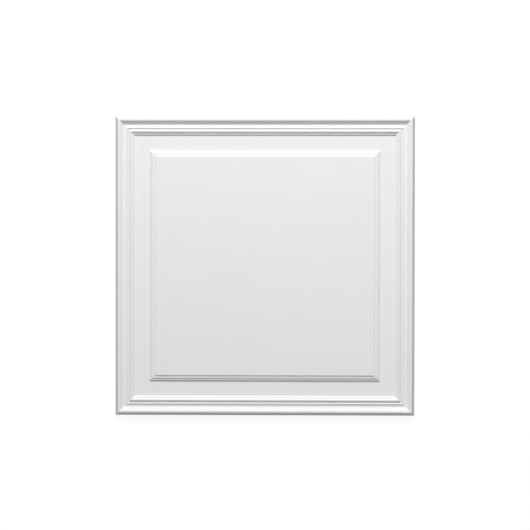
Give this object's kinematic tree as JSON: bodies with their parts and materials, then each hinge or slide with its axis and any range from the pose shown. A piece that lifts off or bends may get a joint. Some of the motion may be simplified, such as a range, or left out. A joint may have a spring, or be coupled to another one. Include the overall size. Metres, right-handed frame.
{
  "type": "decorative wall panel",
  "caption": "Square moulded wall panel with a mitred classical border, a sunk flat field, a raised flat centre and a flat back for gluing to a wall.",
  "frame": {"origin": "middle of the flat back face, where the panel rests on the floor or on the wall", "axes": "+Z out of the decorated face, +X across the wall, +Y up the wall as the panel hangs"},
  "size_m": [0.55, 0.55, 0.017],
  "materials": {
    "primed_polyurethane": "white primer, matt to satin, moulded smooth"
  },
  "bodies": {
    "root": {"wall_panel": "primed_polyurethane"}
  },
  "joints": []
}
